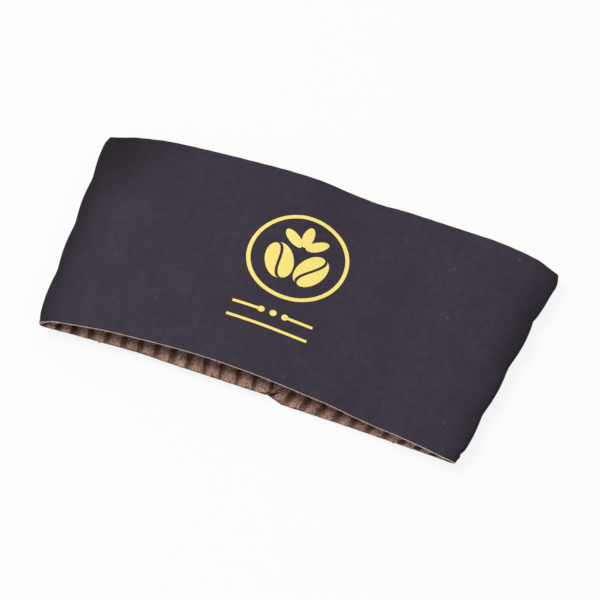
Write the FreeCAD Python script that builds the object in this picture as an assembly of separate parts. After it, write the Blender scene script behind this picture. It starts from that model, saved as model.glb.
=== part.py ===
"""Corrugated paper sleeve for a hot drink cup, folded nearly flat and lying on its back.

The sleeve is one blank of single-face board: a smooth outer liner with a fluted medium
glued inside it. The blank is an arc-shaped strip that is folded twice and glued to itself
where its two ends overlap at the back. Everything below is worked out on the flat blank
and then carried onto the folded shape.

Millimetres. The sleeve lies on z = 0 with its printed face up. X runs along the sleeve
from the left fold to the right one, Y from the narrow cut edge to the wide one.
"""
import FreeCAD
import Part
import math
import os

# Folded sleeve, seen from above
wide_edge = 130.8           # fold to fold along the far cut edge
narrow_edge = 116.0         # fold to fold along the near cut edge
sleeve_height = 63.0        # from the narrow cut edge to the wide one

# Corrugated board
board_thickness = 2.0
liner_thickness = 0.4
medium_thickness = 0.25
flute_pitch = 4.47
flute_shift = 2.8           # first glue line to the right of the blank's middle
glue_line = 0.5             # width of the strip where a flute is glued to the liner
glue_film = 0.02            # between the glued strips and the liner
flute_fullness = 0.75       # below 1 the crests are broad and the grooves narrow

# Folds
folded_thickness = 0.95     # one board at a fold, where its flutes are crushed
fold_gap = 0.1              # between the two crushed boards at a fold
crush_width = 20.0          # over which the flutes rise to their full height
left_fold_height = (5.4, 4.8)   # above the table, at the narrow edge and at the wide one
right_fold_height = (4.9, 4.8)

# Seam at the back
seam_offset = 13.5          # end of the inner flap, to the right of the middle
flap_overlap = 18.0
seam_glue = 0.05            # glue film between the two flaps
inner_cut_width = 8.4       # chamfers of the inner flap, along the cut edge
inner_cut_length = 6.0      # and along the flap's end
outer_cut_width = 14.0      # chamfers of the outer flap, likewise
outer_cut_length = 4.6
rest_margin = 4.5           # flat board beside the doubled board at the seam
left_rise_power = 4.0       # how late the back curls up towards each fold
right_rise_power = 1.7
seam_slip = 0.55            # how far the back's narrow edge stands out at the seam
slip_reach = 30.0           # to each side

# Clear height between the flutes of the front and of the back, at places from the left
# fold at -1 to the right fold at 1
near_opening = ((-1, 0), (-0.93, 1.9), (-0.72, 2.6), (-0.4, 3.5), (0.05, 4.4), (0.35, 4.1),
                (0.52, 2.5), (0.66, 1.2), (0.85, 0.7), (1, 0))
far_opening = ((-1, 0), (-0.95, 0.9), (-0.85, 2.2), (-0.58, 3.2), (-0.3, 3.6), (-0.06, 4.1),
               (0.08, 3.2), (0.2, 2.9), (0.34, 3.7), (0.8, 3.4), (0.9, 2.9), (1, 0))

# Printed emblem, thin fields of gold on the front, placed from the middle of the panel
print_thickness = 0.06
print_lift = 0.07           # keeps the film clear of the facets under it
ring_centre = (-0.5, 5.9)
ring_radius = 13.5
ring_width = 1.1
bean_length = 11.0
bean_width = 7.4
bean_split = 0.8            # slit between the two halves of a bean
bean_wave = 1.0             # how far the slit swings to each side
bean_spacing = 8.8
bean_drop = 2.6             # centres of the beans below the centre of the ring
bean_lean = 24.0            # degrees
leaf_length = 6.6
leaf_width = 2.9
leaf_rise = 2.8             # root of the leaves above the centre of the ring
leaf_spread = 52.0          # degrees between two leaves
leaf_gap = 0.8              # from the common root to where a leaf starts
rule_width = 0.8
short_rule = 7.5
long_rule = 22.0
short_rule_drop = 18.6
long_rule_drop = 23.0
dot_radius = 0.9
dot_spacing = 3.2

# Fineness of the model
flute_steps = 7             # facets across one flute
panel_rows = 2              # facets along a flute that stays on a panel
fold_row = 7.0              # length of a facet along a flute that crosses a fold
fold_margin = 2.0           # how far beside a fold the fine facets go on
ring_steps = 32
shape_steps = 8
nanometres = 6              # decimal places that count in a point

fold_radius = folded_thickness + fold_gap
panel_angle = (wide_edge - narrow_edge) / sleeve_height
narrow_radius = narrow_edge / panel_angle
wide_radius = wide_edge / panel_angle
plan_centre = (wide_radius + narrow_radius * math.cos(panel_angle / 2)) / 2
seam_lift = board_thickness + seam_glue
rest_half_width = seam_offset + rest_margin


def smooth(share):
    """Ease from 0 to 1."""
    share = min(max(share, 0.0), 1.0)
    return share * share * (3 - 2 * share)


def through(stations, place):
    """Height at a place on the smooth curve through stations, with no overshoot."""
    x = [station[0] for station in stations]
    z = [station[1] for station in stations]
    count = len(x) - 1
    run = [x[i + 1] - x[i] for i in range(count)]
    rise = [(z[i + 1] - z[i]) / run[i] for i in range(count)]
    slope = [rise[0]]
    for i in range(1, count):
        turning = rise[i - 1] * rise[i] <= 0
        slope.append(0.0 if turning else 2 * rise[i - 1] * rise[i] / (rise[i - 1] + rise[i]))
    slope.append(rise[-1])
    i = max(0, min(count - 1, sum(1 for value in x[1:] if value < place)))
    q = (place - x[i]) / run[i]
    return ((1 + 2 * q) * (1 - q) ** 2 * z[i] + q * (1 - q) ** 2 * run[i] * slope[i]
            + q * q * (3 - 2 * q) * z[i + 1] + q * q * (q - 1) * run[i] * slope[i + 1])


def half_width(v):
    """Half the flat panel between the fold centres, at v from the narrow edge to the wide one."""
    return (narrow_edge + (wide_edge - narrow_edge) * v) / 2 - fold_radius


def board_at(x, v):
    """Board thickness at a distance x from the middle, less where a fold crushes the flutes."""
    from_fold = half_width(v) - abs(x)
    return folded_thickness + (board_thickness - folded_thickness) * smooth(from_fold / crush_width)


def curl(x, v):
    """0 where the back lies flat, 1 at the folds."""
    flat = rest_half_width
    share = max(0.0, (abs(x) - flat) / (half_width(v) - flat))
    return share ** (left_rise_power if x < 0 else right_rise_power)


def back_level(x, v):
    """Underside of the back above the table."""
    near, far = left_fold_height if x < 0 else right_fold_height
    return (near + (far - near) * v - fold_radius) * curl(x, v)


def back_height(x, v, side):
    """Height of the fold-centre surface at the back. The left quarter rides on the right one."""
    lift = 0.0
    if side < 0:
        lift = seam_lift * (1 - curl(x, v)) if x < 0 else seam_lift
    return back_level(x, v) + lift + board_at(x, v) + fold_gap


def front_height(x, v):
    """Height of the fold-centre surface at the front, bowed up over the opening."""
    place = x / half_width(v)
    lifted = 1 - smooth((x / rest_half_width + 1) / 2)
    base = back_level(x, v) + seam_lift * lifted * (1 - curl(x, v))
    opening = through(near_opening, place) * (1 - v) + through(far_opening, place) * v
    return base + board_at(x, v) + fold_gap + opening


def fold_angles(side, v):
    """Tilt of the front and of the back panel where they run into a fold."""
    step = 0.01
    edge = side * half_width(v)
    inside = edge - side * step
    front = math.atan((front_height(inside, v) - front_height(edge, v)) / step)
    back = math.atan((back_height(edge, v, side) - back_height(inside, v, side)) / step)
    return front, back


def bend_length(side, v):
    """Girth that a fold takes up."""
    front_tilt, back_tilt = fold_angles(side, v)
    return fold_radius * (math.pi - front_tilt - back_tilt)


def section(girth, v):
    """Centre point and outward normal in the section at v, at a girth from the front's middle."""
    side = 1 if girth > 0 else -1
    past = abs(girth) - half_width(v)
    bend = bend_length(side, v)
    step = 0.01
    if past <= 0:
        x = girth
        z = front_height(x, v)
        slope = (front_height(x + step, v) - front_height(x - step, v)) / (2 * step)
        turn = math.atan(-slope)
    elif past < bend:
        x = side * half_width(v)
        z = front_height(x, v)
        turn = side * (fold_angles(side, v)[0] + past / fold_radius)
    else:
        x = side * (half_width(v) - past + bend)
        z = back_height(x, v, side)
        slope = (back_height(x + step, v, side) - back_height(x - step, v, side)) / (2 * step)
        turn = math.pi - math.atan(-slope)
    return x, z, math.sin(turn), math.cos(turn)


def girth_at(across, v):
    """Distance round the blank, at v, of a line that runs across the blank's middle."""
    radius = narrow_radius + sleeve_height * v
    return radius * math.asin(across / radius)


def placed(girth, v, depth):
    """Point of the folded sleeve, at a depth below the liner's outer face."""
    x, z, normal_x, normal_z = section(girth, v)
    offset = board_at(x, v) + fold_gap - depth(x, v)
    radius = narrow_radius + sleeve_height * v
    if normal_z < 0:
        radius -= seam_slip * (1 - smooth(abs(x) / slip_reach)) * (1 - v)
    angle = (x + offset * normal_x) / radius
    point = (radius * math.sin(angle), radius * math.cos(angle) - plan_centre, z + offset * normal_z)
    return tuple(round(value, nanometres) for value in point)


def inside_blank(across, v):
    """How far inside the blank's cut ends a point lies, negative outside them."""
    girth = girth_at(across, v)
    side = 1 if girth > 0 else -1
    to_end, cut_width, cut_length = seam_offset, inner_cut_width, inner_cut_length
    if side > 0:
        to_end, cut_width, cut_length = flap_overlap - seam_offset, outer_cut_width, outer_cut_length
    margin = 2 * half_width(v) + bend_length(side, v) + to_end - abs(girth)
    from_edge = min(v, 1 - v) * sleeve_height
    chamfer = margin + (from_edge / cut_length - 1) * cut_width
    return min(margin, chamfer)


def crossing(inner, outer, across):
    """Where a line along a flute meets the blank's cut end, between two values of v."""
    for _ in range(30):
        middle = (inner + outer) / 2
        if inside_blank(across, middle) > 0:
            inner = middle
        else:
            outer = middle
    return inner


def line_span(across):
    """First and last v of a line along a flute, or None where it misses the blank."""
    count = 60
    hits = [i / count for i in range(count + 1) if inside_blank(across, i / count) > 0]
    if not hits:
        return None
    low = hits[0] if hits[0] == 0 else crossing(hits[0], hits[0] - 1 / count, across)
    high = hits[-1] if hits[-1] == 1 else crossing(hits[-1], hits[-1] + 1 / count, across)
    return low, high


def blank_reach(side):
    """How far the blank reaches to a side, measured across the flutes."""
    inner = side * narrow_edge
    outer = side * (2 * wide_edge + flap_overlap)
    for _ in range(30):
        middle = (inner + outer) / 2
        if line_span(middle):
            inner = middle
        else:
            outer = middle
    return inner


def near_fold(across, span):
    """True where a line along a flute comes near a fold."""
    for v in span:
        past = abs(girth_at(across, v)) - half_width(v)
        if -fold_margin < past < math.pi * fold_radius + fold_margin:
            return True
    before = abs(girth_at(across, span[0])) - half_width(span[0])
    after = abs(girth_at(across, span[1])) - half_width(span[1])
    return before * after < 0


def rows(across):
    """Values of v where a line along a flute has its points."""
    span = line_span(across)
    count = panel_rows
    if near_fold(across, span):
        count = max(panel_rows, math.ceil((span[1] - span[0]) * sleeve_height / fold_row))
    return [span[0] + (span[1] - span[0]) * i / count for i in range(count + 1)]


def flute_wave(across):
    """Height share of the medium: 0 on the glue line, 1 at the crest inside the sleeve."""
    phase = (across - flute_shift) / flute_pitch % 1
    glued = glue_line / flute_pitch / 2
    share = min(max((phase - glued) / (1 - 2 * glued), 0.0), 1.0)
    return max(math.sin(math.pi * share), 0.0) ** flute_fullness


def near_end(across):
    """True where a line along a flute meets one of the blank's cut ends, or nearly does."""
    return min(inside_blank(across, 0), inside_blank(across, 1)) < flute_pitch


def flute_lines(coarse):
    """Lines along the flutes, from one end of the blank to the other.

    Coarse lines keep only the edges of the glue lines where the board is plain.
    """
    left = blank_reach(-1)
    right = blank_reach(1)
    glued = glue_line / flute_pitch / 2
    phases = [glued + (1 - 2 * glued) * i / (flute_steps - 1) for i in range(flute_steps)]
    first = math.floor((left - flute_shift) / flute_pitch)
    last = math.ceil((right - flute_shift) / flute_pitch)
    lines = [left]
    for flute in range(first, last):
        for i, phase in enumerate(phases):
            across = (flute + phase) * flute_pitch + flute_shift
            if not left < across < right:
                continue
            plain = not near_fold(across, line_span(across)) and not near_end(across)
            if i in (0, flute_steps - 1) or not (coarse and plain):
                lines.append(across)
    return lines + [right]


class Skin:
    """Closed skin of triangles that becomes a solid."""

    def __init__(self):
        self.triangles = []

    def triangle(self, a, b, c):
        if a != b and b != c and c != a:
            self.triangles.append((a, b, c))

    def strip(self, first, second):
        """Triangles between two lines of points that may differ in number."""
        i = 0
        j = 0
        while i < len(first) - 1 or j < len(second) - 1:
            next_first = (i + 1) / (len(first) - 1)
            next_second = (j + 1) / (len(second) - 1)
            if j == len(second) - 1 or (i < len(first) - 1 and next_first <= next_second):
                self.triangle(first[i], second[j], first[i + 1])
                i += 1
            else:
                self.triangle(first[i], second[j], second[j + 1])
                j += 1

    def between(self, tops, bottoms, ring=False):
        """Close the space between a grid of top lines and one of bottom lines."""
        for i in range(len(tops) - 1):
            self.strip(tops[i], tops[i + 1])
            self.strip(bottoms[i + 1], bottoms[i])
            self.strip([tops[i + 1][0], tops[i][0]], [bottoms[i + 1][0], bottoms[i][0]])
            self.strip([tops[i][-1], tops[i + 1][-1]], [bottoms[i][-1], bottoms[i + 1][-1]])
        if not ring:
            self.strip(bottoms[0], tops[0])
            self.strip(tops[-1], bottoms[-1])

    def solid(self):
        faces = []
        for corners in self.triangles:
            points = [FreeCAD.Vector(*corner) for corner in corners]
            faces.append(Part.Face(Part.makePolygon(points + points[:1])))
        shell = Part.makeShell(faces)
        shell.sewShape()
        solid = Part.makeSolid(shell)
        if solid.Volume < 0:
            solid.reverse()
        return solid


def board_layer(lines, top_depth, bottom_depth):
    """One layer of the board between two depths below the liner's outer face."""
    skin = Skin()
    tops = []
    bottoms = []
    for across in lines:
        spots = [(girth_at(across, v), v) for v in rows(across)]
        tops.append([placed(girth, v, lambda x, v: top_depth(across, x, v)) for girth, v in spots])
        bottoms.append([placed(girth, v, lambda x, v: bottom_depth(across, x, v)) for girth, v in spots])
    skin.between(tops, bottoms)
    return skin.solid()


def outer_liner():
    """Smooth printed paper that faces outwards all round."""
    return board_layer(flute_lines(True), lambda across, x, v: 0.0,
                       lambda across, x, v: liner_thickness)


def fluted_medium():
    """Fluted kraft paper inside the liner, with its flutes parallel across the whole blank."""
    def top(across, x, v):
        start = liner_thickness + glue_film
        return start + (board_at(x, v) - start - medium_thickness) * flute_wave(across)

    def bottom(across, x, v):
        return top(across, x, v) + medium_thickness
    return board_layer(flute_lines(False), top, bottom)


def turned(points, degrees, centre):
    """Points turned about the origin and then moved to a centre."""
    angle = math.radians(degrees)
    return [(centre[0] + x * math.cos(angle) - y * math.sin(angle),
             centre[1] + x * math.sin(angle) + y * math.cos(angle)) for x, y in points]


def shares(count):
    return [i / count for i in range(count + 1)]


def circle(radius):
    turns = [2 * math.pi * share for share in shares(ring_steps)]
    return [(radius * math.cos(turn), radius * math.sin(turn)) for turn in turns]


def lens_edge(length, width, side):
    """Edge of a pointed oval that starts at the origin and runs along X."""
    return [(length * (1 - math.cos(math.pi * share)) / 2, side * width / 2 * math.sin(math.pi * share))
            for share in shares(shape_steps)]


def bean_half(side):
    """Outer edge and wavy inner edge of one half of a bean."""
    half_split = side * bean_split / 2
    outer = [(x, y + half_split) for x, y in lens_edge(bean_length, bean_width - bean_split, side)]
    inner = [(x, half_split + bean_wave * math.sin(2 * math.pi * share))
             for (x, y), share in zip(outer, shares(shape_steps))]
    return outer, inner


def rule(length, width):
    """Both edges of a straight rule."""
    return [[(length * (share - 0.5), side * width / 2) for share in shares(shape_steps)]
            for side in (-1, 1)]


def emblem_fields():
    """Pairs of edges, each pair bounding one field of gold, and whether it closes on itself."""
    fields = [(turned(circle(ring_radius), 0, ring_centre),
               turned(circle(ring_radius - ring_width), 0, ring_centre), True)]
    for side in (-1, 1):
        centre = (ring_centre[0] + side * bean_spacing / 2, ring_centre[1] - bean_drop)
        lean = 90 - side * bean_lean
        root = turned([(-bean_length / 2, 0)], lean, centre)[0]
        for half in (-1, 1):
            outer, inner = bean_half(half)
            fields.append((turned(outer, lean, root), turned(inner, lean, root), False))
    for step in (-1, 0, 1):
        lean = 90 + step * leaf_spread
        root = turned([(leaf_gap, 0)], lean, (ring_centre[0], ring_centre[1] + leaf_rise))[0]
        fields.append((turned(lens_edge(leaf_length, leaf_width, -1), lean, root),
                       turned(lens_edge(leaf_length, leaf_width, 1), lean, root), False))
    low, high = rule(long_rule, rule_width)
    centre = (ring_centre[0], ring_centre[1] - long_rule_drop)
    fields.append((turned(low, 0, centre), turned(high, 0, centre), False))
    low, high = rule(short_rule, rule_width)
    for side in (-1, 1):
        centre = (ring_centre[0] + side * (long_rule - short_rule) / 2, ring_centre[1] - short_rule_drop)
        fields.append((turned(low, 0, centre), turned(high, 0, centre), False))
    for step in (-1, 0, 1):
        centre = (ring_centre[0] + step * dot_spacing - dot_radius, ring_centre[1] - short_rule_drop)
        fields.append((turned(lens_edge(2 * dot_radius, 2 * dot_radius, -1), 0, centre),
                       turned(lens_edge(2 * dot_radius, 2 * dot_radius, 1), 0, centre), False))
    return fields


def gold_print():
    """Fields of gold film that follow the front panel."""
    def film(edge_pairs, height):
        return [[placed(x, 0.5 + y / sleeve_height, lambda x, v: -height) for x, y in pair]
                for pair in edge_pairs]
    solids = []
    for first, second, ring in emblem_fields():
        pairs = list(zip(first, second))
        skin = Skin()
        skin.between(film(pairs, print_lift + print_thickness), film(pairs, print_lift), ring)
        solids.append(skin.solid())
    return Part.makeCompound(solids)


os.makedirs("parts", exist_ok=True)
outer_liner().exportStep("parts/outer_liner.step")
fluted_medium().exportStep("parts/fluted_medium.step")
gold_print().exportStep("parts/gold_print.step")
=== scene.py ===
"""Folded corrugated paper cup sleeve: black printed liner, brown fluted inside, gold emblem."""

import math
from functools import lru_cache

import bpy
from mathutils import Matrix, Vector, noise


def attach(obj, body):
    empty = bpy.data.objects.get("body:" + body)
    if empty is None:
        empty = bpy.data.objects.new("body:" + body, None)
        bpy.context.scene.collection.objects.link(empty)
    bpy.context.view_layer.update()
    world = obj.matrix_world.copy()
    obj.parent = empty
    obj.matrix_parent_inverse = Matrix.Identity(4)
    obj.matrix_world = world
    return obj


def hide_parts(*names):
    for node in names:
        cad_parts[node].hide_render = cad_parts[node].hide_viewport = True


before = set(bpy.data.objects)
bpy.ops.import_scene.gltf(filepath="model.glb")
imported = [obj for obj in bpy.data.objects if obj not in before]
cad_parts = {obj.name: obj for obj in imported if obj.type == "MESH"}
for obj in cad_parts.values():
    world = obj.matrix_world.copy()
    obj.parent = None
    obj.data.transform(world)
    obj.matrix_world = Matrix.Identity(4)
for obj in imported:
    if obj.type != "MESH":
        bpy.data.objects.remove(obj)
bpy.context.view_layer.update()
MM = 0.001

# Folded sleeve, in millimetres, as in the solids
WIDE_EDGE = 130.8
NARROW_EDGE = 116.0
HEIGHT = 63.0
BOARD = 2.0
LINER = 0.4
MEDIUM = 0.25
FLUTE_PITCH = 4.47
FLUTE_SHIFT = 2.8
GLUE_LINE = 0.5
GLUE_FILM = 0.02
FLUTE_FULLNESS = 0.75
FOLDED_BOARD = 0.95
FOLD_GAP = 0.1
CRUSH_WIDTH = 20.0
LEFT_FOLD_HEIGHT = (5.4, 4.8)
RIGHT_FOLD_HEIGHT = (4.9, 4.8)
SEAM_OFFSET = 13.5
FLAP_OVERLAP = 18.0
SEAM_GLUE = 0.05
INNER_CUT = (8.4, 6.0)                  # chamfers of the two flaps, across and along
OUTER_CUT = (14.0, 4.6)
REST_MARGIN = 4.5
LEFT_RISE_POWER = 4.0
RIGHT_RISE_POWER = 1.7
SEAM_SLIP = 0.55
SLIP_REACH = 30.0
NEAR_OPENING = ((-1, 0), (-0.93, 1.9), (-0.72, 2.6), (-0.4, 3.5), (0.05, 4.4), (0.35, 4.1),
                (0.52, 2.5), (0.66, 1.2), (0.85, 0.7), (1, 0))
FAR_OPENING = ((-1, 0), (-0.95, 0.9), (-0.85, 2.2), (-0.58, 3.2), (-0.3, 3.6), (-0.06, 4.1),
               (0.08, 3.2), (0.2, 2.9), (0.34, 3.7), (0.8, 3.4), (0.9, 2.9), (1, 0))

# Emblem, placed from the middle of the front panel
RING_CENTRE = (-0.5, 5.9)
RING_RADIUS = 13.5
RING_WIDTH = 1.1
BEAN_LENGTH = 11.0
BEAN_WIDTH = 7.4
BEAN_SPLIT = 0.8
BEAN_WAVE = 1.0
BEAN_SPACING = 8.8
BEAN_DROP = 2.6
BEAN_LEAN = 24.0
LEAF_LENGTH = 6.6
LEAF_WIDTH = 2.9
LEAF_RISE = 2.8
LEAF_SPREAD = 52.0
LEAF_GAP = 0.8
RULE_WIDTH = 0.8
SHORT_RULE = 7.5
LONG_RULE = 22.0
SHORT_RULE_DROP = 18.6
LONG_RULE_DROP = 23.0
DOT_RADIUS = 0.9
DOT_SPACING = 3.2
FILM = 0.03
LIFT = 0.02                             # keeps the film of gold off the paper

# Handling marks that only the finished surface has
LEFT_WAVE = (-0.02, 0.5, 0.895, 0.25)   # swell of a fold's ripple, its depth, a crest, its spacing
RIGHT_WAVE = (0.15, 0.66, 0.867, 0.2475)
WAVE_REACH = 4.5                        # how far a fold's ripple runs into the panels
WAVE_LIFT = 0.35                        # share of the ripple that also goes up
DENT_SOFTNESS = 0.03                    # rounds the dents between the crests a little
LEFT_NICKS = ((0.0, 0.5, 0.03), (1.0, 0.45, 0.02))      # place, depth and reach of each
RIGHT_NICKS = ((0.05, 0.5, 0.011), (0.745, 0.25, 0.012), (0.95, -0.55, 0.04), (1.0, 0.25, 0.012),
               (0.0, 0.4, 0.024))
LEFT_SKEW = (-0.3, 0.2, 0.5)            # near edge cut long: front, back, and where the front's is full
RIGHT_SKEW = (0.78, 0.38, 0.6)
BACK_TUCK = (0.6, -0.72, 0.28)          # the back's near edge tucked in: depth, place and reach
TIP_SWELL = (0.14, 0.62, 0.3)           # worn near edge of the liner, right: thickness, start, run
TIP_END = 1.15
LINER_CUT_ROUGHNESS = 0.035
MEDIUM_CUT_ROUGHNESS = 0.28
QUICK_CUT_SHARE = 0.6
MEDIUM_RECESS = (0.7, -0.15)            # the fluted paper's cut edge at the front and at the back
FLAT_EDGE = (-0.93, 0.72)               # between these shares of the front its flutes are crushed back
FLAT_EDGE_EASE = (0.08, 0.14)
MEDIUM_FRAY = (0.5, 0.25)               # how far the crests' ends fray out at the back, near and far
FRAY_START = 14.0                       # from the folds, where the squeezed crests hold together
FRAY_EVEN = 0.5
FINE_HAIR_SHARE = 0.7
CREST_CRUSH = (0.45, 1.3)               # share of height lost at the back's cut edges, and its reach
FLUTE_WANDER = 0.22
FLUTE_HEIGHT_SPREAD = 0.14
CREST_SAG = (0.8, 0.3)                  # share of the slow sag, and its lean towards low
DIMPLE_SHARE = 0.25
SAG_GAIN = 1.6
WASHBOARD = 0.02                        # faint lines of the flutes in the printed face
WASHBOARD_EDGE = (0.05, 3)              # added beside the cut edges, and its reach
WASHBOARD_WANDER = 0.25
PANEL_SWELL = (0.2, 15)                 # slow unevenness of the front, and where it is full
PRESSED = (-111.0, -99.0)               # across the blank, where the lap's flutes are pressed wide and the painted groove shade loses its soft side

# Unevenness: waves in a millimetre or a flute across, waves in the height, a start of its own
SWELL_WAVES = (1 / 26, 2.6, 3.7)
SLOW_CUT_WAVES = (0.9, 9, 1.3)
QUICK_CUT_WAVES = (3.1, 9, 7.1)
WASHBOARD_WAVES = (1 / 9, 5, 0.2)
CREST_WAVES = (3.7, 2.2, 0.4)
DIMPLE_WAVES = (1 / 1.1, 26, 5.5)
HAIR_WAVES = (0.8, 7, 4.4)
FINE_HAIR_WAVES = (3.3, 7, 8.4)
WANDER_WAVES = (5.1, 3.1, 9.2)

# Fineness
LINER_ROWS = 64
FRONT_COLUMNS = 150
BACK_COLUMNS = 90
BEND_COLUMNS = 16
PALE_TIP_COLUMNS = 8                    # of the back, where the pale cut colour runs on past the right fold
FLUTE_STEPS = 14
FLUTE_ROWS = 28
CUT_ROWS = (0.0, 0.006, 0.013, 0.022)   # beside a flute's cut ends
FIRST_ROW = 0.035
RING_STEPS = 160
SHAPE_STEPS = 36
FIELD_STEPS = 5
SLOPE_STEP = 0.01
SEARCH_STEPS = 60
CUT_HALVINGS = 24
REACH_HALVINGS = 30

# Finishes, by their place in each piece's list of materials
PRINTED, LINER_BACK, PALE_CUT, BROWN_CUT = range(4)
FLUTES, FLUTE_CUT = range(2)
GOLD_FILM = 0

# Grain of the papers: waves in a metre across and along, detail and roughness
STREAK_GRAIN = ((4200, 900, 1), 3.0, 0.6)
CROSS_GRAIN = ((1100, 3600, 1), 3.0, 0.6)
BLOTCH_GRAIN = ((1500, 1200, 1), 4.0, 0.7)
MOTTLE_GRAIN = ((520, 430, 1), 3.0, 0.65)
CLOUD_GRAIN = ((90, 90, 1), 5.0, 0.6)
GROOVE_GRAIN = ((500, 300, 1), 3.0, 0.6)
WEAR_GRAIN = ((160, 60, 1), 3.0, 0.6)
RELIEF = (0.6, 0.4)                     # shares of the streaks and of the blotches
CLOUDING = (0.3, 0.7)
SPECK_FREE = 0.76                       # share of the cells that hold no speck

# Black ink. Each tint has its range, if any, its strength and its colour
INK = ((0.0360, 0.0280, 0.0440, 1), (0.0480, 0.0380, 0.0570, 1))
INK_GRAIN = (("Streaks", (0.52, 0.8), 0.35, (0.064, 0.052, 0.074, 1)),
             ("Blotches", (0.5, 0.75), 0.25, (0.026, 0.0200, 0.0325, 1)),
             ("Mottle", (0.42, 0.66), 0.5, (0.028, 0.0215, 0.0345, 1)))
# painted shade over both folds and beside their edges, and a darkening towards the far left corner
INK_FOLD_SHADE_AND_CORNER = (("FoldShade", 0.55, (0.020, 0.0160, 0.0240, 1)),
            ("FoldEdgeShade", 0.7, (0.012, 0.0090, 0.0122, 1)),
            ("Corner", 0.9, (0.0132, 0.0096, 0.0116, 1)))
CHIP_RANGE = (0.56, 0.7)
CHIP_TINT = (0.4, (0.135, 0.105, 0.105, 1))
DUST_CELLS = (330.0, 0.1)               # cells in a metre, and a speck's size in its cell
DUST_TINT = (0.18, (0.28, 0.26, 0.34, 1))
INK_ROUGHNESS = (0.56, 0.12)            # least, and what the clouding adds
INK_SHINE = 0.15
INK_BUMP = 0.00003

# Raw papers: dark and light of the blotches, and the palest fibres
LINER_BACK_BROWN = ((0.24, 0.135, 0.10, 1), (0.36, 0.22, 0.17, 1), (0.46, 0.31, 0.25, 1))
PALE_CUT_BROWN = ((0.52, 0.37, 0.33, 1), (0.88, 0.72, 0.69, 1), (0.98, 0.86, 0.83, 1))
FLUTE_BROWN = ((0.23, 0.118, 0.09, 1), (0.60, 0.375, 0.305, 1), (0.84, 0.60, 0.52, 1))
BROWN_CUT_BROWN = ((0.26, 0.14, 0.11, 1), (0.50, 0.31, 0.25, 1), (0.70, 0.48, 0.41, 1))
BROWN_RANGE = (0.40, 0.60)
FIBRE_RANGE = (0.54, 0.72)
FIBRE_STRENGTH = 0.8
BIT_CELLS = (900.0, 0.2)
BIT_TINT = (0.7, (0.10, 0.05, 0.035, 1))
# painted shade in the grooves between the flutes
GROOVE_SHADE_TINT = (0.72, (0.125, 0.046, 0.026, 1))
# deeper painted shade in the grooves squeezed beside the folds
SQUEEZED_GROOVE_SHADE = (0.82, (0.018, 0.008, 0.005, 1))
RAW_ROUGHNESS = 0.9
RAW_SHINE = 0.2
RAW_BUMP = 0.00012

GOLD = ((0.95, 0.76, 0.18, 1), (1.0, 0.83, 0.23, 1))
GOLD_RANGE = (0.5, 0.8)
GOLD_TINT = (0.3, (1.0, 0.88, 0.36, 1))
GOLD_ROUGHNESS = 0.55
GOLD_SHINE = 0.3
GOLD_BUMP = 0.00002

# Painted shade in the grooves between the flutes, in shares of the pitch
GROOVE_SHARP = (0.19, 0.25)
GROOVE_SOFT = (0.66, 0.98)
GROOVE_WANDER = 0.16
LINE_PLACE = 0.2
LINE_SPREAD = (0.01, 0.045)
LINE_STRENGTH = 0.3
DEEPER_RISE = (-1, 4)                   # millimetres from the near edge, where the painted groove shade deepens
DEEPER_SHARE = 0.25
PRESSED_LOSS = 0.8

# Painted shade, corner darkening and rubbed ink, full up to the first distance in millimetres and gone
# at the second
FOLD_SHADE = (3, 15)
FOLD_EDGE_SHADE = (1, 8)
SQUEEZED_SHADE_REACH = (8, 22)
CORNER_DARK = (9, 38)
FOLD_RUB = (1.5, 5)
RIM_RUB = (0.1, 0.7)
FOLD_WANDER = 4
CORNER_WANDER = 12
RIGHT_FOLD_SHARE = 0.5

# Studio
FLOOR_REACH = 3.0
FLOOR_COLOUR = (0.80, 0.80, 0.80, 1)
FLOOR_ROUGHNESS = 0.9
FLOOR_GLOW = 0.88                       # share of plain white that only the camera sees
AMBIENT = 0.42
AMBIENT_COLOUR = (0.97, 0.98, 1.0, 1)
LAMPS = (("left_softbox", (-0.38, -0.08, 0.93), 0.5, 7.0),)

# Camera, at the photograph's viewing angle
CAMERA_TURN = 21.33
CAMERA_RISE = 56.48
CAMERA_DISTANCE = 0.5739
CAMERA_LENS = 130.3
CAMERA_SENSOR = 36.0
CAMERA_CLIP = 0.01
AIM = (0.0028, 0.0001)                  # the view's centre, right of and above the sleeve's origin

FOLD_RADIUS = FOLDED_BOARD + FOLD_GAP
PANEL_ANGLE = (WIDE_EDGE - NARROW_EDGE) / HEIGHT
NARROW_RADIUS = NARROW_EDGE / PANEL_ANGLE
WIDE_RADIUS = WIDE_EDGE / PANEL_ANGLE
PLAN_CENTRE = (WIDE_RADIUS + NARROW_RADIUS * math.cos(PANEL_ANGLE / 2)) / 2
SEAM_LIFT = BOARD + SEAM_GLUE
REST_HALF_WIDTH = SEAM_OFFSET + REST_MARGIN
GLUED_SHARE = GLUE_LINE / FLUTE_PITCH / 2


def smooth(share):
    share = min(max(share, 0.0), 1.0)
    return share * share * (3 - 2 * share)


def shares(count):
    return [i / count for i in range(count + 1)]


def uneven(across, v, waves):
    """Unevenness between about -1 and 1, the same in each run."""
    return noise.noise(Vector((across * waves[0], v * waves[1], waves[2])))


# Path of the folded board

@lru_cache(maxsize=None)
def slopes(stations):
    """Slopes at the stations of a curve that doesn't overshoot them."""
    rise = [(b[1] - a[1]) / (b[0] - a[0]) for a, b in zip(stations, stations[1:])]
    inner = [0.0 if a * b <= 0 else 2 * a * b / (a + b) for a, b in zip(rise, rise[1:])]
    return [rise[0]] + inner + [rise[-1]]


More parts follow.
